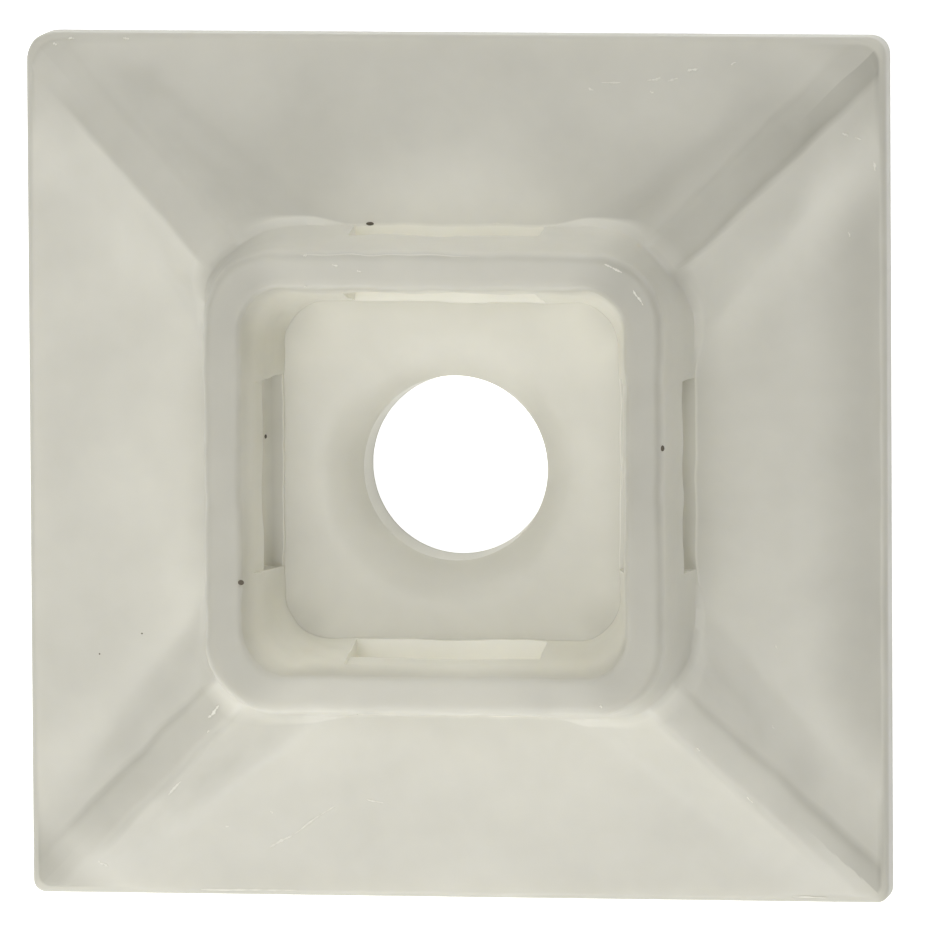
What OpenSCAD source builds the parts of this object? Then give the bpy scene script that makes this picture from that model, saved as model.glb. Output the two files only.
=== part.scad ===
// Four-way cable tie mount, moulded in one piece.
// A square base rises in four curved ramps to a hollow square tower. A tie enters by a slot at
// the foot of one tower wall, crosses the floor of the tower and leaves by the slot opposite.
// Four roof-shaped ridges brace the corners of the tower, and a screw goes through the floor.
// Units are millimetres, +Z is up, and the origin is the centre of the underside.

/* [Base] */
// Length of each side of the square base
base_w = 28; // [26:0.5:30]
// Radius of the base's four corners, seen from above
base_corner_r = 0.6; // [0.4:0.1:1.5]
// Height of the base at its outer edge
edge_h = 1.2; // [1:0.1:1.6]
// Radius that rounds the upper edge of the base
edge_round = 0.25; // [0.1:0.05:0.4]

/* [Ramps] */
// Height of the ramps where they meet the tower, which is also the height of the tie slots' sills
sill_h = 2.3; // [2:0.1:2.6]
// Straightness of the ramps in profile: 1 is a plane, less is hollowed
ramp_straightness = 0.6; // [0.4:0.1:1]

/* [Tower] */
// Height of the rim of the tower above the underside
tower_h = 6.3; // [6:0.1:7]
// Width of the tower across its outer walls, at the rim
tower_top_w = 14.9; // [14.4:0.1:15.4]
// Width of the tower across its outer walls, at the sills
tower_foot_w = 15.9; // [15.6:0.1:16.4]
// Radius of the tower's outer corners
tower_corner_r = 2.3; // [1.8:0.1:2.6]
// Radius that rounds the outer edge of the rim
rim_outer_round = 0.35; // [0.2:0.05:0.45]
// Radius of the fillet between the tower and the ramps
foot_fillet = 0.25; // [0.1:0.05:0.4]

/* [Well] */
// Width of the well inside the tower, at the rim
well_top_w = 12.4; // [12.2:0.1:12.7]
// Width of the well at its floor
well_floor_w = 10.9; // [10.7:0.1:11.3]
// Height of the well's floor above the underside
floor_h = 2.15; // [1.9:0.05:2.2]
// Radius of the well's corners
well_corner_r = 1.4; // [1:0.1:1.8]
// Radius that rounds the inner edge of the rim
rim_inner_round = 0.25; // [0.1:0.05:0.35]

/* [Tie slots] */
// Length of each slot along its wall, for ties up to 5.4 wide
slot_l = 6.2; // [5:0.1:6.6]
// Height of each slot above the sill
slot_h = 1.5; // [1.2:0.1:1.8]
// Depth of the shallow panel over each slot, in the well's walls
panel_depth = 0.15; // [0.1:0.05:0.25]
// Height of that panel above the slot
panel_h = 1.15; // [0.8:0.05:1.4]

/* [Screw hole] */
// Diameter of the screw hole
hole_d = 5.8; // [5:0.1:6]
// Diameter of the dished countersink where it runs out into the floor
sink_d = 9.2; // [8.4:0.1:10]
// Depth of the countersink below the floor, at the hole
sink_depth = 0.8; // [0.5:0.1:1.1]

/* [Corner ridges] */
// Height of a ridge's flat top where it meets the tower
ridge_top_h = 4.1; // [3.8:0.1:4.6]
// Height of the flat top at the outer end of a ridge
ridge_end_h = 1.75; // [1.65:0.05:1.9]
// Distance from the outer end of the flat top to the base's corner, along a diagonal
ridge_gap = 2.4; // [2.2:0.1:3]
// Width of the flat top beside the tower
ridge_crest_w = 1.3; // [1:0.1:1.6]
// Width of the flat top at its outer end
ridge_tip_w = 1; // [0.7:0.1:1.2]
// Width of a ridge where it meets the ramps, beside the tower
ridge_foot_w = 4.4; // [3.8:0.1:4.8]
// Width of a ridge where it meets the ramps, at its outer end
ridge_end_w = 2.9; // [2.6:0.1:3.2]
// Fall of the nose for each millimetre of its length
ridge_nose_fall = 0.95; // [0.7:0.05:1.2]

/* [Hidden] */
// Segments in each rounded corner of a section
arc_steps = 8;
// Sections along the hollowed profile of a ramp
ramp_steps = 6;
// Sections across each rounded edge
round_steps = 4;
// Bands in the dish of the countersink
sink_steps = 6;
// How far a cut runs past the surface that it opens
over = 1;
// Sections along the flat top of a ridge
ridge_steps = 4;
// How deep the flanks and the nose of a ridge run on below the edge of the ramps, so that they fuse
ridge_sink = 0.25;
// Half width of the rounded shoulder between the flat top and a flank
ridge_shoulder = 0.12;
// How far a ridge starts inside the tower's outer corner
ridge_inset = 1.9;

base_half = base_w / 2;
edge_half = base_half - edge_round;
foot_half = tower_foot_w / 2;
top_half = tower_top_w / 2;
well_top_half = well_top_w / 2;
well_floor_half = well_floor_w / 2;
ridge_reach = base_half * sqrt(2) - ridge_gap;
ridge_near = (foot_half - tower_corner_r) * sqrt(2) + tower_corner_r;
nylon = [0.82, 0.81, 0.75];

// One section of a loft: a square of the given half width with rounded corners, at height z
function section(half, r, z) = [
    for (quarter = [0:3]) for (i = [0:arc_steps])
        let (a = 90 * (quarter + i / arc_steps), side = half - r,
             sx = (quarter == 0 || quarter == 3) ? side : -side,
             sy = quarter < 2 ? side : -side)
        [sx + r * cos(a), sy + r * sin(a), z]
];

// Solid through a list of sections with equal counts of points, ordered from the bottom up
module loft(sections) {
    n = len(sections[0]);
    last = len(sections) - 1;
    points = [for (s = sections) for (p = s) p];
    walls = [for (k = [0:last - 1]) for (i = [0:n - 1])
        let (j = (i + 1) % n) [k * n + i, (k + 1) * n + i, (k + 1) * n + j, k * n + j]];
    floor_face = [for (i = [0:n - 1]) i];
    roof_face = [for (i = [n - 1:-1:0]) last * n + i];
    polyhedron(points = points, faces = concat([floor_face], walls, [roof_face]), convexity = 4);
}

// Height of a ramp at part s of the way from the base's edge to the tower
function ramp_z(s) = edge_h + (sill_h - edge_h) * (ramp_straightness * s + (1 - ramp_straightness) * s * s);

// Value between a and b at part s of the way
function between(a, b, s) = a + (b - a) * s;

// Square base with a rounded upper edge, rising in hollowed ramps to the foot of the tower
module base_and_ramps() {
    inner_half = foot_half - over / 2;
    edge = [for (i = [0:round_steps])
        let (a = 90 * i / round_steps)
        section(base_half - edge_round * (1 - cos(a)), base_corner_r,
                edge_h - edge_round * (1 - sin(a)))];
    ramps = [for (i = [1:ramp_steps])
        let (s = i / ramp_steps)
        section(between(edge_half, foot_half, s),
                between(base_corner_r, tower_corner_r, s), ramp_z(s))];
    loft(concat([section(base_half, base_corner_r, 0)], edge, ramps,
                [section(inner_half, tower_corner_r, sill_h)]));
}

// Height of a ramp at the given distance from the middle, straight out from a side
function ramp_z_at(out) = ramp_z((edge_half - out) / (edge_half - foot_half));

// Half width of the tower at height z, on its drafted wall
function tower_half(z) = between(foot_half, top_half, (z - sill_h) / (tower_h - rim_outer_round - sill_h));

// Outside of the tower: a filleted foot and drafted walls on rounded corners, with a rounded rim
module tower_shell() {
    low = ramp_z_at(foot_half + foot_fillet);
    high = sill_h + foot_fillet;
    foot = [for (i = [0:round_steps])
        let (a = 90 * i / round_steps, spread = foot_fillet * (1 - sin(a)), z = between(high, low, cos(a)))
        section(tower_half(high) + spread, tower_corner_r + spread, z)];
    rim = [for (i = [0:round_steps])
        let (a = 90 * i / round_steps)
        section(top_half - rim_outer_round * (1 - cos(a)),
                tower_corner_r - rim_outer_round * (1 - cos(a)),
                tower_h - rim_outer_round * (1 - sin(a)))];
    loft(concat([section(foot_half, tower_corner_r, floor_h / 2)], foot, rim));
}

// Inside of the tower: walls that lean outwards, with a rounded inner edge at the rim
module well() {
    mouth = [for (i = [0:round_steps])
        let (a = 90 * i / round_steps)
        section(well_top_half + rim_inner_round * (1 - cos(a)),
                well_corner_r + rim_inner_round * (1 - cos(a)),
                tower_h - rim_inner_round * (1 - sin(a)))];
    loft(concat([section(well_floor_half, well_corner_r, floor_h)], mouth,
                [section(well_top_half + rim_inner_round, well_corner_r + rim_inner_round,
                         tower_h + over)]));
}

// Half width of the well at height z, on its leaning wall
function well_half(z) =
    between(well_floor_half, well_top_half, (z - floor_h) / (tower_h - rim_inner_round - floor_h));

// Slots through two opposite walls, with the shallow panel over each in the well's wall
module slot_pair() {
    slot_top = sill_h + slot_h;
    panel_top = slot_top + panel_h;
    translate([-foot_half - over, -slot_l / 2, sill_h])
        cube([2 * (foot_half + over), slot_l, slot_h]);
    panel = [
        [well_half(slot_top) - over, slot_top - slot_h / 2],
        [well_half(slot_top - slot_h / 2) + panel_depth, slot_top - slot_h / 2],
        [well_half(panel_top) + panel_depth, panel_top],
        [well_half(panel_top) - over, panel_top]
    ];
    for (side = [0, 180])
        rotate([90, 0, side])
            translate([0, 0, -slot_l / 2])
                linear_extrude(slot_l)
                    polygon(panel);
}

// Section of a ridge at distance d along +X: a flat top of half width c at height z, rounded shoulders,
// and two flanks with the given fall for each millimetre
function ridge_section(d, z, c, fall) =
    let (r = ridge_shoulder, bed = edge_h - ridge_sink, wide = c + (z - bed) / fall,
         right = [[d, c - r, z], [d, c, z - r * fall / 4], [d, c + r, z - r * fall], [d, wide, bed]])
    concat([for (i = [3:-1:0]) [d, -right[i][1], right[i][2]]], right);

// Height and half width of the flat top, at part s of the way from the tower to its outer end
function ridge_z(s) = between(ridge_top_h, ridge_end_h, s);
function ridge_half(s) = between(ridge_crest_w, ridge_tip_w, s) / 2;

// Fall of the flanks, which meet the ramps at the ridge's own half width
function ridge_fall(s) =
    let (foot = between(ridge_foot_w, ridge_end_w, s) / 2, d = between(ridge_near, ridge_reach, s))
    (ridge_z(s) - ramp_z_at((d + foot) / sqrt(2))) / (foot - ridge_half(s));

// Ridge along +X from inside the tower's wall to its sloped nose near a corner of the base
module ridge() {
    inset = -ridge_inset / (ridge_reach - ridge_near);
    nose_z = edge_h - ridge_sink / 2;
    nose_l = (ridge_end_h - nose_z) / ridge_nose_fall;
    flat = [for (i = [0:ridge_steps])
        let (s = i / ridge_steps)
        ridge_section(between(ridge_near, ridge_reach, s), ridge_z(s), ridge_half(s), ridge_fall(s))];
    loft_along(concat([ridge_section(ridge_near - ridge_inset, ridge_z(inset), ridge_half(0), ridge_fall(0))],
                      flat,
                      [ridge_section(ridge_reach + nose_l, nose_z, ridge_half(1), ridge_fall(1))]));
}

// Solid through upright sections that follow each other along +X
module loft_along(sections) {
    loft([for (s = sections) [for (i = [len(s) - 1:-1:0]) s[i]]]);
}

// Screw hole, straight below, with a dished countersink that steepens towards it
module screw_hole() {
    hole_r = hole_d / 2;
    sink_r = sink_d / 2;
    dish = [for (i = [0:sink_steps])
        let (s = i / sink_steps)
        [between(hole_r, sink_r, s), floor_h - sink_depth * (1 - s) * (1 - s)]];
    translate([0, 0, -over])
        cylinder(h = floor_h + 2 * over, d = hole_d, $fn = 96);
    rotate_extrude($fn = 96)
        polygon(concat([[0, floor_h - sink_depth]], dish, [[sink_r, floor_h + over], [0, floor_h + over]]));
}

module mount_body() {
    color(nylon)
    difference() {
        union() {
            base_and_ramps();
            tower_shell();
            for (corner = [45:90:315])
                rotate([0, 0, corner])
                    ridge();
        }
        well();
        for (turn = [0, 90])
            rotate([0, 0, turn])
                slot_pair();
        screw_hole();
    }
}

mount_body();
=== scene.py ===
"""Visual model of a four-way cable tie mount, moulded in one piece from natural nylon.

Lengths are in millimetres up to the moment a mesh is made, which turns them to metres.
+Z points up out of the surface that the mount is fixed to, +X is right and +Y is back. The origin is the
centre of the mount's underside.
"""

import logging
import math
from dataclasses import dataclass, field
from enum import Enum

import bpy
import numpy as np
from mathutils import Matrix, Vector


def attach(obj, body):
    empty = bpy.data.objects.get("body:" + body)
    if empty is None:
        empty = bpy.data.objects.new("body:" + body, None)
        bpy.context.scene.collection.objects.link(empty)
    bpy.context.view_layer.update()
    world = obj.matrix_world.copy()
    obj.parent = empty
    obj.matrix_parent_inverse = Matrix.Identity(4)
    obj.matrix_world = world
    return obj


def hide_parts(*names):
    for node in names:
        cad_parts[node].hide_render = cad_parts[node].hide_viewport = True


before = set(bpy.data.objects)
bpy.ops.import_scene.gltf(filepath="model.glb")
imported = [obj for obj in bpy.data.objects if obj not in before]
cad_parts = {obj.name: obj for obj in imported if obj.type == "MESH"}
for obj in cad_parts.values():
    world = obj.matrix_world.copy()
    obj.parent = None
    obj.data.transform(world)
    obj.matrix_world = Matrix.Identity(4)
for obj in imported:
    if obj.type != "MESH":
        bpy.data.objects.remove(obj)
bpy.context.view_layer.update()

LOG = logging.getLogger("tie_mount")
MM = 0.001
BODY = "root"
NODE = "mount_body"
SHARP_DEGREES = 38

Array = np.ndarray
Values = Array | float
Pair = tuple[float, float]
Triple = tuple[float, float, float]
Four = tuple[float, float, float, float]
Row = tuple[float, ...]
RowsByName = dict[str, tuple[int, int]]


# -------- shared helpers


def linear(hex_colour: str) -> Four:
    """Turns an sRGB hex colour to linear light.

    Args:
        hex_colour: six hex digits.

    Returns:
        Linear red, green and blue with an alpha of 1.
    """
    levels = [int(hex_colour[i : i + 2], 16) / 255 for i in (0, 2, 4)]
    red, green, blue = (c / 12.92 if c <= 0.04045 else ((c + 0.055) / 1.055) ** 2.4 for c in levels)
    return red, green, blue, 1.0


def add_node(
    tree: bpy.types.NodeTree, kind: str, settings: dict | None = None, inputs: dict | None = None
) -> bpy.types.Node:
    """Adds one node to a tree, with its settings and what feeds it.

    Args:
        tree: the node tree of a material or world.
        kind: the node's type name, such as "ShaderNodeMath".
        settings: values for the node's own properties, by name.
        inputs: a value or another node's output for each input, by name or index.

    Returns:
        The new node.
    """
    node = tree.nodes.new(kind)
    for name, value in (settings or {}).items():
        setattr(node, name, value)
    for key, value in (inputs or {}).items():
        if isinstance(value, bpy.types.NodeSocket):
            tree.links.new(value, node.inputs[key])
        else:
            node.inputs[key].default_value = value
    return node


def blank_material(name: str) -> bpy.types.Material:
    """Makes a material with an empty node tree.

    Args:
        name: the material's name.

    Returns:
        The material.
    """
    made = bpy.data.materials.new(name)
    made.use_nodes = True
    made.node_tree.nodes.clear()
    return made


def background_rays(tree: bpy.types.NodeTree) -> bpy.types.NodeSocket:
    """Adds a switch that is 1 for camera, glossy and transmission rays, and 0 for all others.

    Args:
        tree: the node tree to add it to.

    Returns:
        The switch's socket.
    """
    path = add_node(tree, "ShaderNodeLightPath").outputs
    total = path["Is Camera Ray"]
    for ray in ("Is Glossy Ray", "Is Transmission Ray"):
        sum_of = {"operation": "ADD", "use_clamp": True}
        total = add_node(tree, "ShaderNodeMath", sum_of, {0: total, 1: path[ray]}).outputs[0]
    return total


def link_object(name: str, mesh: bpy.types.Mesh, material: bpy.types.Material) -> bpy.types.Object:
    """Puts a finished mesh into the scene as an object at the origin.

    Args:
        name: the object's name.
        mesh: its mesh.
        material: its only material.

    Returns:
        The object.
    """
    mesh.materials.append(material)
    made = bpy.data.objects.new(name, mesh)
    bpy.context.scene.collection.objects.link(made)
    return made


def smooth(low: float, high: float, value: Array) -> Array:
    """Eased step: 0 up to low, 1 from high on, and 3t^2 - 2t^3 between them.

    Args:
        low: where the step starts.
        high: where the step ends.
        value: the numbers to ease.

    Returns:
        The eased step of each number.
    """
    t = np.clip((value - low) / (high - low), 0.0, 1.0)
    return t * t * (3 - 2 * t)


def larger(a: Array, b: Array, fillet: float) -> Array:
    """The larger of two heights, with a fillet where they cross.

    The larger height is raised by h^2 * fillet / 4, where h falls from 1 to 0 as they part by the fillet's
    width.

    Args:
        a: the first height.
        b: the second height.
        fillet: the difference in height over which the two are blended.

    Returns:
        The blended height.
    """
    h = np.maximum(fillet - np.abs(a - b), 0.0) / fillet
    return np.maximum(a, b) + h * h * fillet / 4


def ripple(points: Array, wavelength: float, seed: int) -> Array:
    """Smooth unevenness of a moulded skin, between about -1 and 1.

    It is a fifth of the sum of twelve plane sine waves in scattered directions, near one wavelength.

    Args:
        points: an array whose last axis is x, y and z in mm.
        wavelength: the usual distance from one rise to the next, in mm.
        seed: the number that picks the directions.

    Returns:
        The unevenness at each point.
    """
    draw = np.random.default_rng(seed)
    waves = draw.normal(size=(12, 3))
    waves /= np.linalg.norm(waves, axis=1, keepdims=True)
    waves *= 2 * math.pi / (wavelength * draw.uniform(0.7, 1.5, size=(12, 1)))
    shifts = draw.uniform(0, 2 * math.pi, 12)
    return np.sin(points @ waves.T + shifts).sum(-1) / 5.0


def column(values: list[float] | Array) -> Array:
    """Stands a list of values up as one value for each row."""
    return np.asarray(values, float)[:, None]


def run(start: float, end: float, count: int) -> Array:
    """Even steps from start to just before end."""
    return np.linspace(start, end, count + 1)[:-1]


def steps(count: int) -> Array:
    """Even steps from 0 towards 1, one for each row."""
    return column(run(0, 1, count))


# -------- finishes


@dataclass(frozen=True)
class NaturalNylon:
    """Uncoloured nylon 6/6 as moulded: milky, slightly yellow and translucent, with a soft waxy gloss.

    To the eye it is ivory, greyed by painted shade and whitened by painted light region by region, faintly
    clouded, with pale shadows, as light enters the skin and comes out a millimetre or so away. Its grain is
    drawn coarse.
    """

    name: str = "natural_nylon_moulded_satin"
    milk: str = "F4F2E6"
    painted_shade_grey: str = "B8B6AA"
    roughness: float = 0.42
    roughness_swing: float = 0.08
    index: float = 1.53
    scatter: float = 0.3
    scatter_mm: float = 1.2
    scatter_by_colour: Triple = (1.0, 0.92, 0.66)
    cloud_mm: float = 4.0
    cloud_depth: float = 0.08
    grain_mm: float = 0.5
    grain_depth_mm: float = 0.012

    def material(self) -> bpy.types.Material:
        """Builds the material.

        The colour goes from a grey to milk by the painted light-and-shade attribute, plus a slow cloud.

        Returns:
            The material, which reads Object coordinates and the attribute.
        """
        made = blank_material(self.name)
        tree = made.node_tree
        place = add_node(tree, "ShaderNodeTexCoord").outputs["Object"]
        # The attribute read here is painted light and shade: it greys the skin where shade falls and whitens
        # it where light falls.
        named = {"attribute_name": "painted_shading", "attribute_type": "GEOMETRY"}
        painted_shading = add_node(tree, "ShaderNodeAttribute", named).outputs["Fac"]
        noises, ranges = [], []
        for size_mm, detail in ((self.cloud_mm, 3.0), (self.grain_mm, 1.0)):
            inputs = {"Vector": place, "Scale": 1 / (size_mm * MM), "Detail": detail, "Roughness": 0.6}
            noises.append(add_node(tree, "ShaderNodeTexNoise", {}, inputs).outputs["Fac"])
        cloud, grain = noises
        for middle, swing in ((0.0, self.cloud_depth), (self.roughness, self.roughness_swing)):
            ends = {"From Min": 0.3, "From Max": 0.7, "To Min": middle - swing, "To Max": middle + swing}
            ranges.append(add_node(tree, "ShaderNodeMapRange", {}, {"Value": cloud, **ends}).outputs[0])
        cloudy, rough = ranges
        tone = add_node(tree, "ShaderNodeMath", {"operation": "ADD"}, {0: painted_shading, 1: cloudy}).outputs[0]
        mix = {"data_type": "RGBA", "clamp_factor": False}
        colours = {"Factor": tone, 6: linear(self.painted_shade_grey), 7: linear(self.milk)}
        skin = add_node(tree, "ShaderNodeMix", mix, colours).outputs[2]
        relief = {"Strength": 1.0, "Distance": self.grain_depth_mm * MM, "Height": grain}
        grained = add_node(tree, "ShaderNodeBump", {}, relief).outputs["Normal"]
        shader = add_node(
            tree,
            "ShaderNodeBsdfPrincipled",
            {"subsurface_method": "RANDOM_WALK"},
            {
                "Base Color": skin,
                "Roughness": rough,
                "IOR": self.index,
                "Subsurface Weight": self.scatter,
                "Subsurface Radius": self.scatter_by_colour,
                "Subsurface Scale": self.scatter_mm * MM,
                "Normal": grained,
            },
        )
        add_node(tree, "ShaderNodeOutputMaterial", {}, {"Surface": shader.outputs[0]})
        return made


@dataclass(frozen=True)
class PlainFinish:
    """A finish of one even colour, for marks too small to show more than their colour and dullness."""

    name: str
    colour: str
    roughness: float

    def material(self) -> bpy.types.Material:
        """Builds the material.

        Returns:
            The material.
        """
        made = blank_material(self.name)
        tree = made.node_tree
        values = {"Base Color": linear(self.colour), "Roughness": self.roughness}
        shader = add_node(tree, "ShaderNodeBsdfPrincipled", {}, values)
        add_node(tree, "ShaderNodeOutputMaterial", {}, {"Surface": shader.outputs[0]})
        return made


# Scraped nylon turns white and dull, as torn fibres scatter light; this pale colour also paints the
# highlights that are painted on. To the eye it is a pale, frayed fleck.
PALE_SCRAPE_AND_HIGHLIGHT = PlainFinish("scrape_and_painted_highlight_white_matt", "E6E4D9", 0.7)
# Grit pressed into the skin; the same dark colour also paints one shadow in the back slot. To the eye it is
# a dark, dull dot.
GRIT_AND_SHADOW = PlainFinish("grit_and_painted_shadow_dark_matt", "5A5346", 0.8)


@dataclass(frozen=True)
class StudioCard:
    """Matt white card, which shows pure white to the camera and still keeps the mount's soft shadow."""

    name: str = "white_card_matt"
    colour: str = "F4F4F2"
    glow: float = 0.82

    def material(self) -> bpy.types.Material:
        """Builds the material.

        Returns:
            A diffuse card that adds a plain glow for rays from the camera and for reflections.
        """
        made = blank_material(self.name)
        tree = made.node_tree
        card = add_node(tree, "ShaderNodeBsdfDiffuse", {}, {"Color": linear(self.colour)}).outputs[0]
        white = {"Color": linear("FFFFFF"), "Strength": self.glow}
        glow = add_node(tree, "ShaderNodeEmission", {}, white).outputs[0]
        lit = add_node(tree, "ShaderNodeAddShader", {}, {0: card, 1: glow}).outputs[0]
        mixed = add_node(tree, "ShaderNodeMixShader", {}, {0: background_rays(tree), 1: card, 2: lit})
        add_node(tree, "ShaderNodeOutputMaterial", {}, {"Surface": mixed.outputs[0]})
        return made


@dataclass(frozen=True)
class Tones:
    """Painted light and shade: one attribute that greys the skin towards 0 and whitens it towards 1, region
    by region. Shade is painted on the right of the ramps, at the corners, on the crests and in the mouths of
    the left and right slots, and light on the back of the well's floor and on the ramps near the tower.

    Values for the sides go right, back, left, front, and those for the corners back right, back left, front
    left, front right. A ridge has a flank beside a left or right ramp and one beside a back or front ramp.
    Values named for one place are added to those of the part they are on.
    """

    underside: float = 0.33
    side: float = 0.25
    edge: float = 0.28
    ramp: float = 0.32
    ramp_at_tower: float = 0.12
    ramp_outer: Four = (-0.32, -0.06, -0.02, 0.02)
    base_corner: Four = (-0.17, -0.1, -0.34, -0.02)
    crest: Four = (-0.34, -0.2, -0.32, -0.16)
    flank: tuple[Pair, Pair, Pair, Pair] = ((0.26, -0.14), (0.14, -0.12), (0.12, -0.02), (0.12, 0.0))
    wall: float = 0.62
    wall_back_right: float = 0.14
    wall_corner: float = -0.42
    rim_front_back: float = 0.25
    well: float = 0.45
    well_low: float = 0.35
    well_front: float = 0.25
    floor: float = 0.52
    floor_right: float = -0.07
    floor_back: float = 0.04
    floor_corner: float = -0.16
    bore: float = 0.55
    tunnel: float = 1.0
    tunnel_mouth: Four = (0.44, 0.95, 0.34, 0.95)


# -------- the mount


@dataclass
class Band:
    """Rows of the skin that follow each other along the profile.

    half and radius are the half width and corner radius of the rounded square at each row, height is its
    height, and roundness turns it from the square (0) to a circle (1) of the radius circle, all in mm. Each
    has the shape (rows, 1) or (rows, columns), and one that is given as less is spread over the rows.
    """

    name: str
    half: Array
    radius: Values
    height: Values
    # Painted light and shade at each row.
    painted_shading: Values
    roundness: Values = 0.0
    circle: Values = 1.0

    def __post_init__(self) -> None:
        """Spreads every value over the band's rows."""
        for part in ("radius", "height", "painted_shading", "roundness", "circle"):
            setattr(self, part, getattr(self, part) + np.zeros_like(self.half))


class Side(Enum):
    """The four sides of the mount, by the number of quarter turns from +X."""

    RIGHT = 0
    BACK = 1
    LEFT = 2
    FRONT = 3


@dataclass(frozen=True)
class Unevenness:
    """How far a moulded skin wanders from its ideal shape, in mm."""

    wavelength: float = 2.2
    fine_wavelength: float = 0.9
    sideways: float = 0.035
    upwards: float = 0.02
    fine_share: float = 0.4
    seeds: tuple[int, int, int] = (11, 12, 13)
    fine_seed_step: int = 20


@dataclass
class TieMount:
    """The moulded mount: a base with ramps and ridges, a hollow tower with tie slots, and a screw hole.

    The base's four corner radii go back right, back left, front left, front right.
    """

    base_w: float = 28.0
    corner_radii: Four = (0.6, 0.9, 0.4, 0.4)
    under_corner_r: float = 0.2
    edge_h: float = 1.2
    edge_round: float = 0.25
    sill_h: float = 2.3
    sill_drop: float = 0.07
    ramp_straightness: float = 0.6
    tower_h: float = 6.29
    tower_top_w: float = 14.9
    tower_foot_w: float = 15.9
    tower_corner_r: float = 2.3
    rim_outer_round: float = 0.35
    well_top_w: float = 12.4
    well_floor_w: float = 10.9
    floor_h: float = 2.15
    well_corner_r: float = 1.4
    rim_inner_round: float = 0.25
    slot_l: float = 6.2
    slot_h: float = 1.5
    slot_margin: float = 0.02
    panel_depth: float = 0.15
    panel_h: float = 1.15
    hole_d: float = 5.8
    sink_d: float = 9.2
    sink_depth: float = 0.8
    hole_draft: float = 0.1
    ridge_top_h: float = 4.1
    ridge_end_h: float = 1.75
    ridge_reach: float = 17.4
    ridge_nose_slope: float = 0.06
    ridge_foot_w: float = 4.4
    ridge_end_w: float = 2.9
    ridge_crest_w: float = 1.3
    ridge_tip_w: float = 1.0
    ridge_round: float = 0.12
    foot_fillet: float = 0.25
    foot_fillet_columns: int = 8
    ridge_fillet: float = 0.5
    slot_columns: int = 14
    corner_columns: int = 36
    corner_crowding: float = 1.6
    tunnel_steps: int = 12
    uneven: Unevenness = field(default_factory=Unevenness)
    tones: Tones = field(default_factory=Tones)
    finish: NaturalNylon = field(default_factory=NaturalNylon)

    @property
    def base_edge(self) -> float:
        """Half width of the base inside its rounded edge."""
        return self.base_w / 2 - self.edge_round

    @property
    def tower_foot(self) -> float:
        """Half width of the tower at its foot."""
        return self.tower_foot_w / 2

    @property
    def slot_top(self) -> float:
        """Height of the slots' upper edge."""
        return self.sill_h + self.slot_h

    @property
    def panel_top(self) -> float:
        """Height of the panels' upper edge."""
        return self.slot_top + self.panel_h

    @property
    def shoulder(self) -> float:
        """Height at which the tower's wall turns into the rim's rounding."""
        return self.tower_h - self.rim_outer_round

    # ---- columns

    def columns(self) -> tuple[Array, Array, Array]:
        """Lays out the columns that run up the profile, side by side around the mount.

        On each half side the first columns cross half a slot at even steps, and the rest run from the slot's
        end to the diagonal at steps that close up towards it, as 1 - (1 - s)^crowding.

        Returns:
            Each column's side, its sign along that side, and its number from the side's middle.
        """
        half = self.slot_columns + 1 + self.corner_columns
        number = np.arange(-half, half)
        side = np.repeat(np.arange(4), 2 * half)
        sign = np.tile(np.where(number < 0, -1.0, 1.0), 4)
        return side, sign, np.tile(np.abs(number), 4)

    def ring(self, half: Array, radius: Array) -> Array:
        """Points of rounded squares, one for each column.

        A point is at a given length along its side. Up to half - radius it is on the straight, at
        (half, length), and beyond that it is on the corner's arc, at the arc's centre plus radius times
        (cos, sin) of length / radius.

        Args:
            half: half widths, of shape (rows, 1) or (rows, columns).
            radius: corner radii, of the same kind of shape.

        Returns:
            x and y of each point, of shape (rows, columns, 2).
        """
        side, sign, number = self.columns()
        straight = half - radius
        first = self.slot_columns
        start = self.slot_l / 2 + self.slot_margin
        total = (straight - start) + radius * math.pi / 4
        share = np.clip((number - first - 1) / self.corner_columns, 0, 1)
        far = start + total * (1 - (1 - share) ** self.corner_crowding)
        length = np.where(number <= first, self.slot_l / 2 * number / first, far)
        turn = np.clip((length - straight) / radius, 0, math.pi / 4)
        out = np.where(length <= straight, half, straight + radius * np.cos(turn))
        along = np.where(length <= straight, length, straight + radius * np.sin(turn)) * sign
        cos = np.cos(side * math.pi / 2)
        sin = np.sin(side * math.pi / 2)
        return np.stack([out * cos - along * sin, out * sin + along * cos], -1)

    def corner_radius(self) -> Array:
        """The base's corner radius at each column, of shape (1, columns).

        Returns:
            The radius of the corner that each column is nearest to.
        """
        side, sign, _ = self.columns()
        corner = np.where(sign > 0, side, (side + 3) % 4).astype(int)
        return np.array(self.corner_radii)[corner][None, :]

    def heading(self) -> tuple[Array, Array]:
        """Which way each column faces from the middle of the mount.

        Returns:
            The x and y parts of each column's direction, of shape (1, columns).
        """
        xy = self.ring(np.array([[self.tower_top_w / 2]]), np.array([[self.tower_corner_r]]))
        way = xy / np.linalg.norm(xy, axis=-1, keepdims=True)
        return way[..., 0], way[..., 1]

    def near_diagonal(self) -> Array:
        """How near each column is to a diagonal, from 1 on it to 0 away from it, of shape (1, columns)."""
        east, north = self.heading()
        return 1 - smooth(0.05, 0.3, np.abs(np.abs(east) - np.abs(north)))

    # ---- heights

    def ramp_z(self, half: Array) -> Array:
        """Height of the ramps at a half width: a straight part plus a square part of the way to the tower.

        Args:
            half: half width of the rounded square through the point.

        Returns:
            The height.
        """
        share = (self.base_edge - half) / (self.base_edge - self.tower_foot)
        bend = self.ramp_straightness * share + (1 - self.ramp_straightness) * share**2
        return self.edge_h + (self.sill_h - self.edge_h) * bend

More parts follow.
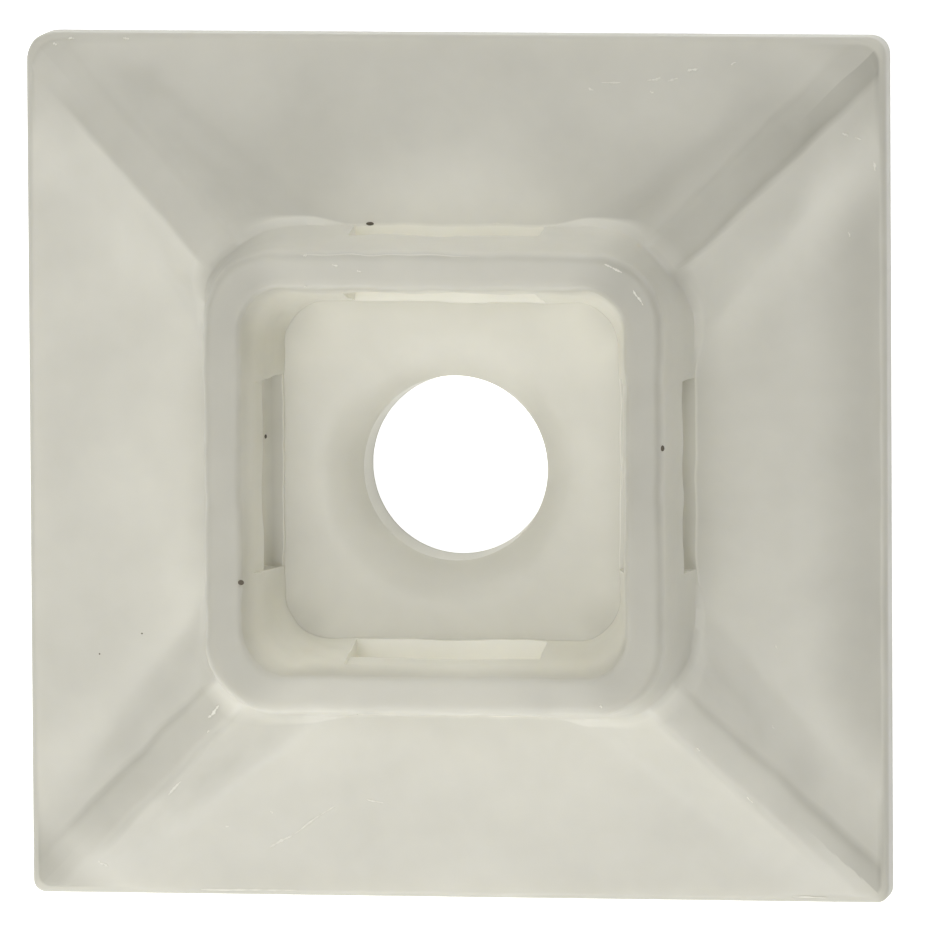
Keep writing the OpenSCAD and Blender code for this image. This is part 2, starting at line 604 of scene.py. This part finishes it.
    def ridge_z(self, xy: Array) -> Array:
        """Height of the ridges' roofs over any point.

        With d along the diagonal and w across it, a roof is flat for half a crest's width on each side and
        then falls at its slope at d. The bend between the two is rounded: the fall is the slope times
        (u + sqrt(u^2 + c^2)) / 2, where u is how far w lies beyond the crest's edge. Past its reach the
        crest falls a little faster, until the ramps swallow it.

        Args:
            xy: points, with x and y on the last axis.

        Returns:
            The height of the roof at each point.
        """
        x, y = np.abs(xy[..., 0]), np.abs(xy[..., 1])
        d = (x + y) / math.sqrt(2)
        w = np.abs(x - y) / math.sqrt(2)
        near = (self.tower_foot - self.tower_corner_r) * math.sqrt(2) + self.tower_corner_r
        share = (d - near) / (self.ridge_reach - near)
        crest = self.ridge_top_h + (self.ridge_end_h - self.ridge_top_h) * share
        crest -= np.maximum(d - self.ridge_reach, 0) * self.ridge_nose_slope
        held = np.clip(share, 0, 1)
        foot = (self.ridge_foot_w + (self.ridge_end_w - self.ridge_foot_w) * held) / 2
        edge = (self.ridge_crest_w + (self.ridge_tip_w - self.ridge_crest_w) * held) / 2
        high = self.ridge_top_h + (self.ridge_end_h - self.ridge_top_h) * held
        met = near + (self.ridge_reach - near) * held
        low = self.ramp_z((met + foot) / math.sqrt(2))
        beyond = w - edge
        fall = (beyond + np.sqrt(beyond**2 + self.ridge_round**2)) / 2
        return crest - (high - low) / (foot - edge) * fall

    def top_z(self, xy: Array, on_rim: Array) -> Array:
        """Height of the mount's top at any point, either on the rim or on the ramps and ridges.

        Outside the flat of the rim or of the base, the height falls along the edge's rounding as
        r (1 - sqrt(1 - (u / r)^2)), where u is how far the point lies beyond the flat.

        Args:
            xy: points, with x and y on the last axis.
            on_rim: whether each point is on the rim.

        Returns:
            The height at each point.
        """
        half = np.maximum(np.abs(xy[..., 0]), np.abs(xy[..., 1]))
        held = np.clip(half, self.tower_foot, self.base_edge)
        ramp = larger(self.ramp_z(held), self.ridge_z(xy), self.ridge_fillet)
        rounding = np.where(on_rim, self.rim_outer_round, self.edge_round)
        flat = np.where(on_rim, self.tower_top_w / 2 - self.rim_outer_round, self.base_edge)
        beyond = np.clip((half - flat) / rounding, 0, 0.98)
        return np.where(on_rim, self.tower_h, ramp) - rounding * (1 - np.sqrt(1 - beyond**2))

    # ---- bands of the skin

    def foot_fillets(self) -> Array:
        """The fillet between ramp and tower at each column, which fades to nothing at the slots.

        Returns:
            The fillet's radius, of shape (1, columns).
        """
        _, _, number = self.columns()
        first = self.slot_columns + 1
        away = smooth(first, first + self.foot_fillet_columns, number.astype(float))
        return self.foot_fillet * away[None, :]

    def base_bands(self) -> list[Band]:
        """Follows the profile over the base: underside, side, rounded edge, and ramp with ridges.

        Returns:
            The bands in order.
        """
        tones, corner, fillet = self.tones, self.corner_radius(), self.foot_fillets()
        base, hole = self.base_w / 2, self.hole_d / 2
        under, side, turn = steps(13), steps(5), steps(6) * math.pi / 2
        climb = 1 - (1 - steps(49)) ** 1.1
        out = hole + (base - hole) * under
        out_radius = self.under_corner_r + (corner - self.under_corner_r) * under
        edge_half = base - self.edge_round * (1 - np.cos(turn))
        edge_height = self.edge_h - self.edge_round * (1 - np.sin(turn))
        half = self.base_edge + (self.tower_foot + fillet - self.base_edge) * climb
        radius = corner + (self.tower_corner_r + fillet - corner) * climb
        height = larger(self.ramp_z(half), self.ridge_z(self.ring(half, radius)), self.ridge_fillet)
        return [
            Band("underside", out, out_radius, 0.0, tones.underside, (1 - under) ** 2, out),
            Band("side", base + 0 * side, corner, (self.edge_h - self.edge_round) * side, tones.side),
            Band("edge", edge_half, corner, edge_height, tones.edge),
            Band("ramp", half, radius, height, tones.ramp + tones.ramp_at_tower * climb**2),
        ]

    def tower_bands(self) -> list[Band]:
        """Follows the profile up the tower's outer wall and over its rim.

        The wall starts at the height of the ramp or ridge at its foot. Its fillet there widens it by
        r (1 - sqrt(1 - (1 - t)^2)), where t is how far the point has risen in parts of the largest radius.

        Returns:
            The bands in order.
        """
        tones, fillet, top = self.tones, self.foot_fillets(), self.tower_top_w / 2
        inner = self.tower_foot + fillet
        ridge = self.ridge_z(self.ring(inner, self.tower_corner_r + fillet))
        start = larger(self.ramp_z(inner), ridge, self.ridge_fillet)
        below, above = run(self.sill_h, self.slot_top, 10), run(self.panel_top, self.shoulder, 7)
        levels = np.concatenate([below, run(self.slot_top, self.panel_top, 8), above])
        part = column((levels - self.sill_h) / (self.shoulder - self.sill_h))
        height = start + (self.shoulder - start) * part
        lift = np.clip((height - start) / self.foot_fillet, 0, 1)
        fill = fillet * (1 - np.sqrt(1 - (1 - lift) ** 2))
        draft = (top - self.tower_foot) / (self.shoulder - self.sill_h)
        half = self.tower_foot + draft * (height - self.sill_h) + fill

        turn, flat = steps(6) * math.pi / 2, steps(6)
        turn_in = turn[::-1]
        fall_out = self.rim_outer_round * (1 - np.cos(turn))
        fall_in = self.rim_inner_round * (1 - np.cos(turn_in))
        inside = self.well_top_w / 2
        flat_from, flat_to = top - self.rim_outer_round, inside + self.rim_inner_round
        radius_from = self.tower_corner_r - self.rim_outer_round
        radius_to = self.well_corner_r + self.rim_inner_round
        height_out = self.tower_h - self.rim_outer_round * (1 - np.sin(turn))
        height_in = self.tower_h - self.rim_inner_round * (1 - np.sin(turn_in))

        east, north = self.heading()
        # Painted light and shade: the walls facing back and right paler, their corners darker, and the rim
        # paler at the front and back than at the sides.
        wall_tone = tones.wall + tones.wall_back_right * np.clip(east + north, 0, 1)
        wall_tone = wall_tone + tones.wall_corner * self.near_diagonal() * (0.6 + 0.4 * north)
        rim_tone = tones.rim_front_back * smooth(0.72, 0.86, np.abs(north))
        outer_tone = wall_tone + (rim_tone - wall_tone) * smooth(0, 1.2, turn)
        inner_tone = rim_tone + (tones.well - rim_tone) * (1 - smooth(0, 1.5, turn_in))
        flat_half = flat_from + (flat_to - flat_from) * flat
        flat_radius = radius_from + (radius_to - radius_from) * flat
        return [
            Band("wall", half, self.tower_corner_r + fill, height, wall_tone),
            Band("rim_outer", top - fall_out, self.tower_corner_r - fall_out, height_out, outer_tone),
            Band("rim", flat_half, flat_radius, self.tower_h, rim_tone),
            Band("rim_inner", inside + fall_in, self.well_corner_r + fall_in, height_in, inner_tone),
        ]

    def well_bands(self) -> list[Band]:
        """Follows the profile down the well's wall, over the floor, and down the countersink and the bore.

        The countersink falls as the square of the way in, so that it steepens towards the hole.

        Returns:
            The bands in order. The last joins the underside at the bore's lower edge.
        """
        tones = self.tones
        well_foot, hole, sink = self.well_floor_w / 2, self.hole_d / 2, self.sink_d / 2
        well_top = self.tower_h - self.rim_inner_round
        above = np.linspace(well_top, self.panel_top + self.slot_margin, 9)
        slot = np.linspace(self.slot_top, self.sill_h, 11)
        panel = run(self.panel_top, self.slot_top, 8)
        levels = np.concatenate([above, panel, slot, [self.sill_h - self.sill_drop]])
        lean = (self.well_top_w / 2 - well_foot) / (well_top - self.floor_h)
        half = column(well_foot + lean * (levels - self.floor_h))
        spread, down, bore = steps(17), steps(14), steps(5)
        lip = hole + self.hole_draft
        floor_half = well_foot + (sink - well_foot) * spread
        sunk = self.floor_h - self.sink_depth * down**2
        bore_height = (self.floor_h - self.sink_depth) * (1 - bore)

        east, north = self.heading()
        # Painted light and shade: the well's wall paler lower down and paler still on the front wall; the
        # floor darker towards the right and in its corners and paler towards the back.
        depth = smooth(0, 1.6, self.tower_h - column(levels))
        front = tones.well_front * np.clip(-north, 0, 1) ** 4 * depth
        well_tone = tones.well + tones.well_low * depth + front
        sink_tone = tones.floor + tones.floor_right * east + tones.floor_back * north
        floor_tone = sink_tone + tones.floor_corner * self.near_diagonal() * (1 - smooth(0.1, 0.6, spread))
        return [
            Band("well", half, self.well_corner_r, column(levels), well_tone),
            Band("floor", floor_half, self.well_corner_r, self.floor_h, floor_tone, spread**1.5, floor_half),
            Band("sink", sink + 0 * down, 1.0, sunk, sink_tone, 1.0, sink + (lip - sink) * down),
            Band("bore", hole + 0 * bore, 1.0, bore_height, tones.bore, 1.0, lip - self.hole_draft * bore),
        ]

    # ---- mesh

    def surface(self) -> tuple[Array, Array, RowsByName]:
        """Works out the whole skin as one grid, closed both round the mount and along the profile.

        By its roundness, a point lies between its rounded square and the circle's point in its direction.

        Returns:
            The points (rows, columns, 3), the painted light and shade (rows, columns), and each band's first
            and last row.
        """
        points, painted_shading_rows, rows, row = [], [], {}, 0
        for band in self.base_bands() + self.tower_bands() + self.well_bands():
            square = self.ring(band.half, band.radius)
            direction = square / np.linalg.norm(square, axis=-1, keepdims=True)
            round_part = band.roundness[..., None]
            xy = (1 - round_part) * square + round_part * direction * band.circle[..., None]
            z = np.broadcast_to(band.height, xy.shape[:2])
            points.append(np.concatenate([xy, z[..., None]], -1))
            painted_shading_rows.append(np.broadcast_to(band.painted_shading, xy.shape[:2]))
            rows[band.name] = (row, row + len(band.half) - 1)
            row += len(band.half)
        return np.concatenate(points), np.concatenate(painted_shading_rows), rows

    def row_at(self, points: Array, rows: tuple[int, int], height: float) -> int:
        """Finds the row of a band that lies at a height, in the middle of a side.

        Args:
            points: the grid of points.
            rows: the band's first and last row.
            height: the height to look for.

        Returns:
            The number of the row.
        """
        middle = self.slot_columns + 1 + self.corner_columns
        heights = points[rows[0] : rows[1] + 1, middle, 2]
        return rows[0] + int(np.argmin(np.abs(heights - height)))

    def sink_panels(self, points: Array, rows: RowsByName) -> None:
        """Presses the shallow panel over each slot straight outwards into the well's wall.

        Args:
            points: the grid of points, which is changed.
            rows: each band's first and last row.
        """
        side, _, number = self.columns()
        high = self.row_at(points, rows["well"], self.panel_top)
        low = self.row_at(points, rows["well"], self.slot_top)
        inside = number <= self.slot_columns
        out = np.stack([np.cos(side * math.pi / 2), np.sin(side * math.pi / 2)], -1)
        points[high : low + 1, inside, :2] += self.panel_depth * out[inside]

    def roughen(self, points: Array) -> Array:
        """Adds the slight unevenness of a moulding, kept off the outer box and the hole's edge.

        Args:
            points: points in mm.

        Returns:
            The moved points.
        """
        uneven = self.uneven
        x, y, z = points[..., 0], points[..., 1], points[..., 2]
        reach = np.maximum(np.abs(x), np.abs(y))
        inside = smooth(0, 0.5, self.base_w / 2 - reach) * smooth(0.2, 0.6, z)
        near_hole = smooth(self.hole_d / 2 + 0.1, self.hole_d / 2 + 0.8, np.hypot(x, y))
        below_top = smooth(0, 0.25, self.tower_h - z)
        moved = points.copy()
        for axis, seed in enumerate(uneven.seeds):
            size, limit = (uneven.sideways, near_hole) if axis < 2 else (uneven.upwards, below_top)
            amount = size * ripple(points, uneven.wavelength, seed)
            fine = ripple(points, uneven.fine_wavelength, seed + uneven.fine_seed_step)
            moved[..., axis] += (amount + uneven.fine_share * size * fine) * inside * limit
        return moved

    def tunnel_shares(self) -> Array:
        """Where a tunnel's rings stand, closer together near its mouths: (1 - cos(pi k / n)) / 2."""
        return (1 - np.cos(math.pi * np.arange(1, self.tunnel_steps) / self.tunnel_steps)) / 2

    def faces(self, rows: RowsByName, points: Array) -> tuple[Array, Array, Array]:
        """Joins the grid into four-sided faces, and opens and lines the four slots.

        The faces of the tower's walls between the sill and the slot's top, over the slot's columns, are left
        out. The edge of each opening in the outer wall is joined to that in the well's wall by a tunnel.

        Args:
            rows: each band's first and last row.
            points: the grid of points.

        Returns:
            The faces as point numbers, the tunnels' new points, and their painted light and shade.
        """
        n_rows, n_cols = points.shape[:2]
        grid = np.arange(n_rows * n_cols).reshape(n_rows, n_cols)
        up, on = np.roll(grid, -1, 0), np.roll(grid, -1, 1)
        quads = np.stack([grid, on, np.roll(up, -1, 1), up], -1)
        keep = np.ones((n_rows, n_cols), bool)
        outer_low, outer_high = (self.row_at(points, rows["wall"], z) for z in (self.sill_h, self.slot_top))
        inner_high, inner_low = (self.row_at(points, rows["well"], z) for z in (self.slot_top, self.sill_h))
        per_side = n_cols // 4
        flat = points.reshape(-1, 3)
        shares = self.tunnel_shares()
        extra, tunnels = [], []
        count = n_rows * n_cols
        for side in Side:
            middle = side.value * per_side + per_side // 2
            cols = np.arange(middle - self.slot_columns, middle + self.slot_columns + 1)
            keep[outer_low:outer_high, cols[0] : cols[-1]] = False
            keep[inner_high:inner_low, cols[0] : cols[-1]] = False
            loops = []
            for low, high in ((outer_low, outer_high), (inner_low, inner_high)):
                step = 1 if high > low else -1
                levels = np.arange(low, high + step, step)
                right, left = grid[levels[1:], cols[-1]], grid[levels[::-1][1:-1], cols[0]]
                loops.append(np.concatenate([grid[low, cols], right, grid[high, cols[::-1][1:]], left]))
            start, end = flat[loops[0]], flat[loops[1]]
            extra.append((start + (end - start) * shares[:, None, None]).reshape(-1, 3))
            size = len(start)
            inner = count + np.arange(len(shares) * size).reshape(len(shares), size)
            count += len(shares) * size
            rings = np.concatenate([loops[0][None], inner, loops[1][None]])
            ahead = np.roll(rings, -1, 1)
            tunnels.append(np.stack([rings[:-1], rings[1:], ahead[1:], ahead[:-1]], -1).reshape(-1, 4))
        more = np.concatenate(extra)
        # Painted shade in the slots: the mouths of the left and right slots are dark, while the mouths of
        # the back and front slots and the middles of all four are pale.
        mouth = smooth(0.4, 0.72, np.abs(2 * shares - 1))
        tones = self.tones.tunnel + (column(self.tones.tunnel_mouth) - self.tones.tunnel) * mouth
        painted_shading = np.repeat(tones.ravel(), len(more) // tones.size)
        return np.concatenate([quads[keep]] + tunnels), more, painted_shading

    # ---- tone

    def ramp_tone(self, ramp: Array) -> Array:
        """Painted light and shade on the ramps and ridges.

        The crests get painted shade. Each flank is painted lighter or darker by its own value, which fades
        out over the ramp beside it. The outer parts of the ramps differ from each other, with painted shade
        on the right one, and the base's corners get painted shade.

        Args:
            ramp: the points of the ramp band.

        Returns:
            What to add to the painted light and shade at each point.
        """
        x, y = ramp[..., 0], ramp[..., 1]
        along = (np.abs(x) + np.abs(y)) / math.sqrt(2)
        across = (np.abs(x) - np.abs(y)) / math.sqrt(2)
        edge, off = self.ridge_crest_w / 2, np.abs(across)
        past_crest = smooth(edge - 0.05, edge + 0.2, off)
        flank = past_crest * (1 - smooth(edge + 0.9, edge + 3.6, off))
        fade = 1 - smooth(15.5, 18.6, along)
        corner = np.where(x > 0, np.where(y > 0, 0, 3), np.where(y > 0, 1, 2))
        side = np.where(across > 0, np.where(x > 0, 0, 2), np.where(y > 0, 1, 3))
        tone = flank * np.array(self.tones.flank)[corner, np.where(across > 0, 0, 1)]
        tone = (tone + (1 - past_crest) * np.array(self.tones.crest)[corner]) * fade
        outer = smooth(11.0, 13.5, np.maximum(np.abs(x), np.abs(y))) * (1 - flank)
        tone = tone + outer * np.array(self.tones.ramp_outer)[side]
        tone = tone + smooth(17.4, 19.0, along) * np.array(self.tones.base_corner)[corner]
        return tone + self.patch_tone(x, y)

    def patch_tone(self, x: Array, y: Array) -> Array:
        """A patch of painted light on the back ramp beside its slot, where light comes out through the slot,
        and patches of painted shade on both sides of it.

        Each is a bell, e^(-r^2) of the distance from its centre over its two widths.

        Args:
            x: x of each point, in mm.
            y: y of each point, in mm.

        Returns:
            What to add to the bulk at each point.
        """
        pale = np.exp(-((x / 3.2) ** 2) - ((y - 9.0) / 1.4) ** 2)
        left = np.exp(-(((x + 4.6) / 2.6) ** 2) - ((y - 10.2) / 2.4) ** 2)
        right = np.exp(-(((x - 4.6) / 2.2) ** 2) - ((y - 9.4) / 1.8) ** 2)
        return 0.26 * pale - 0.24 * left - 0.12 * right

    def build(self) -> bpy.types.Object:
        """Makes the mount's mesh and its attribute of painted light and shade.

        Returns:
            The finished object, at the origin.
        """
        points, painted_shading, rows = self.surface()
        self.sink_panels(points, rows)
        low, high = rows["ramp"]
        painted_shading[low : high + 1] += self.ramp_tone(points[low : high + 1])
        quads, more, more_painted_shading = self.faces(rows, points)
        everything = self.roughen(np.concatenate([points.reshape(-1, 3), more]))
        values = np.concatenate([painted_shading.reshape(-1), more_painted_shading])

        mesh = bpy.data.meshes.new("moulded_mount")
        mesh.from_pydata(everything * MM, [], quads.tolist())
        attribute = mesh.attributes.new("painted_shading", "FLOAT", "POINT")
        attribute.data.foreach_set("value", values.astype(np.float32))
        mesh.shade_smooth()
        mesh.set_sharp_from_angle(angle=math.radians(SHARP_DEGREES))
        mesh.update()
        return link_object("moulded_mount", mesh, self.finish.material())


# -------- marks


def closed_tubes(name: str, points: Array, finish: PlainFinish) -> bpy.types.Object:
    """Makes one mesh of many tubes, each closed round its rings and capped at both ends.

    Args:
        name: the object's name.
        points: points in mm, of shape (tubes, rings, points round a ring, 3), anticlockwise round each run.
        finish: its finish.

    Returns:
        The object, at the origin.
    """
    tubes, rings, around = points.shape[:3]
    grid = np.arange(tubes * rings * around).reshape(tubes, rings, around)
    ahead = np.roll(grid, -1, 2)
    walls = np.stack([grid[:, :-1], ahead[:, :-1], ahead[:, 1:], grid[:, 1:]], -1).reshape(-1, 4)
    caps = grid[:, 0, ::-1].tolist() + grid[:, -1].tolist()
    mesh = bpy.data.meshes.new(name)
    mesh.from_pydata(points.reshape(-1, 3) * MM, [], walls.tolist() + caps)
    mesh.shade_smooth()
    mesh.update()
    return link_object(name, mesh, finish.material())


@dataclass
class ScrapesAndHighlights:
    """Thin pale flecks that stand on the skin: some are torn nylon where it has been scraped, and some are
    painted highlights.

    Each fleck is x and y of its start, x and y of its end, and its half width, in mm, seen from above.
    """

    mount: TieMount
    # Painted highlights among these: the broad fleck at the foot of the front-left ridge by the tower, the
    # one on the back slot's sill, and the two long ones along the front edge.
    on_skin: tuple[Row, ...] = (
        (-6.15, -12.38, -5.42, -11.97, 0.05), (-5.35, -11.92, -3.96, -11.0, 0.035),
        (-2.98, -10.74, -2.39, -10.9, 0.04), (-6.12, -11.2, -6.02, -11.26, 0.04),
        (-7.6, -11.7, -7.48, -11.72, 0.035), (4.42, 12.34, 4.58, 12.26, 0.05),
        (4.84, 12.5, 5.45, 12.52, 0.04), (6.3, 12.6, 6.75, 12.68, 0.05), (6.95, 12.58, 7.28, 12.66, 0.04),
        (7.6, 12.86, 7.93, 12.96, 0.06), (8.98, 13.1, 9.15, 13.18, 0.05), (6.4, 12.26, 6.52, 12.2, 0.04),
        (12.62, 10.95, 12.8, 10.85, 0.06), (13.0, 10.78, 13.2, 10.7, 0.05), (13.6, 10.0, 13.66, 9.7, 0.05),
        (12.8, 7.75, 12.86, 7.6, 0.035), (10.48, -5.6, 10.52, -5.74, 0.035),
        (10.36, -8.15, 10.42, -8.28, 0.035), (-7.36, -7.5, -7.74, -7.9, 0.07),
        (-7.72, -8.3, -7.78, -8.42, 0.04), (-8.8, -10.12, -9.3, -10.6, 0.045),
        (-11.75, -12.92, -11.42, -13.12, 0.055), (8.12, -8.74, 8.24, -8.86, 0.035),
        (9.62, -10.4, 9.8, -10.6, 0.035), (-13.08, 13.68, -12.98, 13.6, 0.06),
        (-12.6, 13.8, -12.4, 13.82, 0.05), (-10.8, 13.82, -10.6, 13.83, 0.045),
        (1.35, 8.0, 1.6, 8.0, 0.045), (-8.5, -13.82, -5.3, -13.83, 0.05),
        (10.9, -13.82, 12.0, -13.82, 0.05),
    )
    # On the rim, painted highlights: glints on the back-right corner's rounding and a long streak along the
    # back edge's rounding.
    on_rim: tuple[Row, ...] = (
        (5.35, -7.1, 5.46, -7.12, 0.06), (5.56, 7.12, 6.15, 6.86, 0.045), (6.5, 6.3, 6.82, 5.8, 0.045),
        (-4.16, 7.3, -4.04, 7.34, 0.05), (-3.2, 7.02, -3.0, 6.98, 0.04), (-2.4, 6.82, -2.26, 6.8, 0.035),
        (-4.14, 6.34, -4.06, 6.3, 0.035), (-4.3, 7.33, 1.3, 7.34, 0.03),
    )
    proud_mm: float = 0.012
    proud_of_rim_mm: float = 0.008
    rings: int = 33
    around: int = 8
    seed: int = 5
    finish: PlainFinish = PALE_SCRAPE_AND_HIGHLIGHT

    def build(self) -> bpy.types.Object:
        """Makes one closed, tapered thread for each fleck.

        A thread is a tube along the scrape's line. Its half width tapers as sqrt(1 - (2t - 1)^2) times a
        slow random change, its line wavers sideways by less than a third of it, and its height follows the
        skin.

        Returns:
            The finished object.
        """
        streaks = np.array(self.on_skin + self.on_rim)[:, None, None, :]
        start, end, wide = streaks[..., :2], streaks[..., 2:4], streaks[..., 4]
        on_rim = np.arange(len(streaks))[:, None, None] >= len(self.on_skin)
        share = np.linspace(0.01, 0.99, self.rings)[None, :, None]
        turn = run(0, 2 * math.pi, self.around)[None, None, :]
        draw = np.random.default_rng(self.seed)
        phase = draw.uniform(0, 2 * math.pi, (4, len(streaks), 1, 1))
        pace = draw.uniform(2, 9, (4, len(streaks), 1, 1))
        waver = np.sin(pace[0] * share + phase[0]) * 0.4 + np.sin(pace[1] * share + phase[1]) * 0.2
        swell = 0.62 + 0.28 * np.sin(2 * pace[2] * share + phase[2])
        swell = swell + 0.16 * np.sin(5 * pace[3] * share + phase[3])
        taper = np.sqrt(1 - (2 * share - 1) ** 2)
        way = end - start
        way = way / np.linalg.norm(way, axis=-1, keepdims=True)
        side = np.stack([-way[..., 1], way[..., 0]], -1)
        offset = wide * (waver / 2 + swell * taper * np.cos(turn))
        xy = start + (end - start) * share[..., None] + side * offset[..., None]
        z = self.mount.top_z(xy, on_rim) + self.proud_mm * np.minimum(taper, 0.7) * np.sin(turn)
        z = np.where(on_rim, np.minimum(z, self.mount.tower_h + self.proud_of_rim_mm), z)
        points = self.mount.roughen(np.concatenate([xy, z[..., None]], -1))
        return closed_tubes("scrapes_and_painted_highlights", points, self.finish)


@dataclass
class GritAndShadowSpecks:
    """Dark grains stuck in the skin, each a small flattened ball, and one such ball of painted shadow in the
    back slot.

    Each grain is x, y and z of its centre and its radii along x, y and z, in mm.
    """

    grains: tuple[Row, ...] = (
        (-6.24, -3.24, 6.275, 0.1, 0.085, 0.02),
        (7.4, 1.2, 6.1, 0.07, 0.1, 0.07),
        (-5.79, 1.23, 3.9, 0.04, 0.07, 0.06),
        (-10.24, -5.44, 1.76, 0.03, 0.025, 0.02),
        (-11.68, -6.15, 1.49, 0.03, 0.03, 0.02),
        # Painted shadow: at the left end of the back slot, where the slot's end wall casts shade.
        (-2.6, 7.98, 2.3, 0.13, 0.06, 0.03),
    )
    rings: int = 11
    around: int = 12
    finish: PlainFinish = GRIT_AND_SHADOW

    def build(self) -> bpy.types.Object:
        """Makes the grains: each is a ball, centre + radii times (sin a cos b, sin a sin b, cos a).

        Returns:
            The finished object.
        """
        a = np.linspace(0.08, math.pi - 0.08, self.rings)[:, None]
        b = run(0, 2 * math.pi, self.around)[None, :]
        ball = np.stack([np.sin(a) * np.cos(b), np.sin(a) * np.sin(b), np.cos(a) + 0 * b], -1)
        grains = np.array(self.grains)[:, None, None, :]
        points = grains[..., :3] + grains[..., 3:] * ball
        return closed_tubes("grit_and_painted_shadow_specks", points[:, :, ::-1], self.finish)


# -------- studio


@dataclass(frozen=True)
class Lamp:
    """A square soft lamp: the direction it hangs in, its distance and side in m, and its power in W."""

    name: str
    towards: Triple
    distance: float
    size: float
    power: float

    def hang(self) -> None:
        """Hangs the lamp so that it faces the mount."""
        light = bpy.data.lights.new(self.name, "AREA")
        light.shape = "SQUARE"
        light.size = self.size
        light.energy = self.power
        made = bpy.data.objects.new(self.name, light)
        direction = Vector(self.towards).normalized()
        made.location = direction * self.distance
        made.rotation_euler = direction.to_track_quat("Z", "Y").to_euler()
        made.visible_camera = False
        bpy.context.scene.collection.objects.link(made)


@dataclass
class Studio:
    """Pale floor, soft light and a long lens nearly straight above a mount 28 mm wide."""

    view: Triple = (0.152, 0.106, 1.0)
    distance: float = 0.6
    roll: float = -0.006
    lens: float = 721.5
    sensor: float = 36.0
    aim: Triple = (0.03, -0.14, 0.0)
    floor_reach: float = 0.6
    floor_gap: float = 0.00003
    room_colour: str = "F4F5F2"
    room_strength: float = 0.02
    lamps: tuple[Lamp, ...] = (
        Lamp("soft_top", (0.0, 0.0, 1.0), 0.3, 0.2, 0.231),
        Lamp("soft_front", (0.0, -0.643, 0.766), 0.3, 0.2, 0.258),
        Lamp("low_back_right", (0.664, 0.664, 0.342), 0.3, 0.2, 0.213),
        Lamp("low_back", (0.0, 0.94, 0.342), 0.3, 0.2, 0.144),
        Lamp("soft_back_left", (-0.4545, 0.4545, 0.766), 0.3, 0.2, 0.135),
        Lamp("near_front", (0.0, -0.906, 0.4226), 0.07, 0.05, 0.0124),
        Lamp("near_left", (-0.643, 0.0, 0.766), 0.07, 0.05, 0.0059),
        Lamp("near_front_left", (-0.641, -0.641, 0.4226), 0.07, 0.05, 0.0064),
    )
    card: StudioCard = field(default_factory=StudioCard)

    def floor(self) -> None:
        """Lays a white card just under the mount."""
        reach = self.floor_reach
        corners = [(-reach, -reach, 0), (reach, -reach, 0), (reach, reach, 0), (-reach, reach, 0)]
        mesh = bpy.data.meshes.new("studio_floor")
        mesh.from_pydata(corners, [], [(0, 1, 2, 3)])
        made = link_object("studio_floor", mesh, self.card.material())
        made.location.z = -self.floor_gap

    def world(self) -> None:
        """Fills the room with pale light, and shows it white to the camera."""
        world = bpy.data.worlds.new("studio_room")
        bpy.context.scene.world = world
        world.use_nodes = True
        tree = world.node_tree
        tree.nodes.clear()
        light = {"Color": linear(self.room_colour), "Strength": self.room_strength}
        room = add_node(tree, "ShaderNodeBackground", {}, light).outputs[0]
        white = add_node(tree, "ShaderNodeBackground", {}, {"Color": linear("FFFFFF")}).outputs[0]
        mixed = add_node(tree, "ShaderNodeMixShader", {}, {0: background_rays(tree), 1: room, 2: white})
        add_node(tree, "ShaderNodeOutputWorld", {}, {"Surface": mixed.outputs[0]})

    def camera(self) -> None:
        """Sets up the camera, turned by the roll about its own axis."""
        data = bpy.data.cameras.new("studio_camera")
        data.lens = self.lens
        data.sensor_fit = "HORIZONTAL"
        data.sensor_width = self.sensor
        made = bpy.data.objects.new("studio_camera", data)
        back = Vector(self.view).normalized()
        right = Vector((0, 1, 0)).cross(back).normalized()
        up = back.cross(right)
        turned_right = right * math.cos(self.roll) + up * math.sin(self.roll)
        turned_up = up * math.cos(self.roll) - right * math.sin(self.roll)
        matrix = Matrix((turned_right, turned_up, back)).transposed().to_4x4()
        matrix.translation = Vector(self.aim) * MM + back * self.distance
        made.matrix_world = matrix
        bpy.context.scene.collection.objects.link(made)
        bpy.context.scene.camera = made

    def build(self) -> None:
        """Sets up the camera, the floor, the room and the lamps."""
        self.camera()
        self.floor()
        self.world()
        for lamp in self.lamps:
            lamp.hang()
        bpy.context.scene.view_settings.view_transform = "Standard"


def main() -> None:
    """Builds the studio, the mount and its marks, and reports each piece."""
    logging.basicConfig(level=logging.INFO, format="%(name)s: %(message)s")
    Studio().build()
    LOG.info("studio ready")
    mount = TieMount()
    piece = mount.build()
    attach(piece, BODY)
    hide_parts(NODE)
    LOG.info("%s: %d faces", piece.name, len(piece.data.polygons))
    for marks in (ScrapesAndHighlights(mount), GritAndShadowSpecks()):
        piece = marks.build()
        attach(piece, BODY)
        LOG.info("%s: %d faces", piece.name, len(piece.data.polygons))


if __name__ == "__main__":
    main()
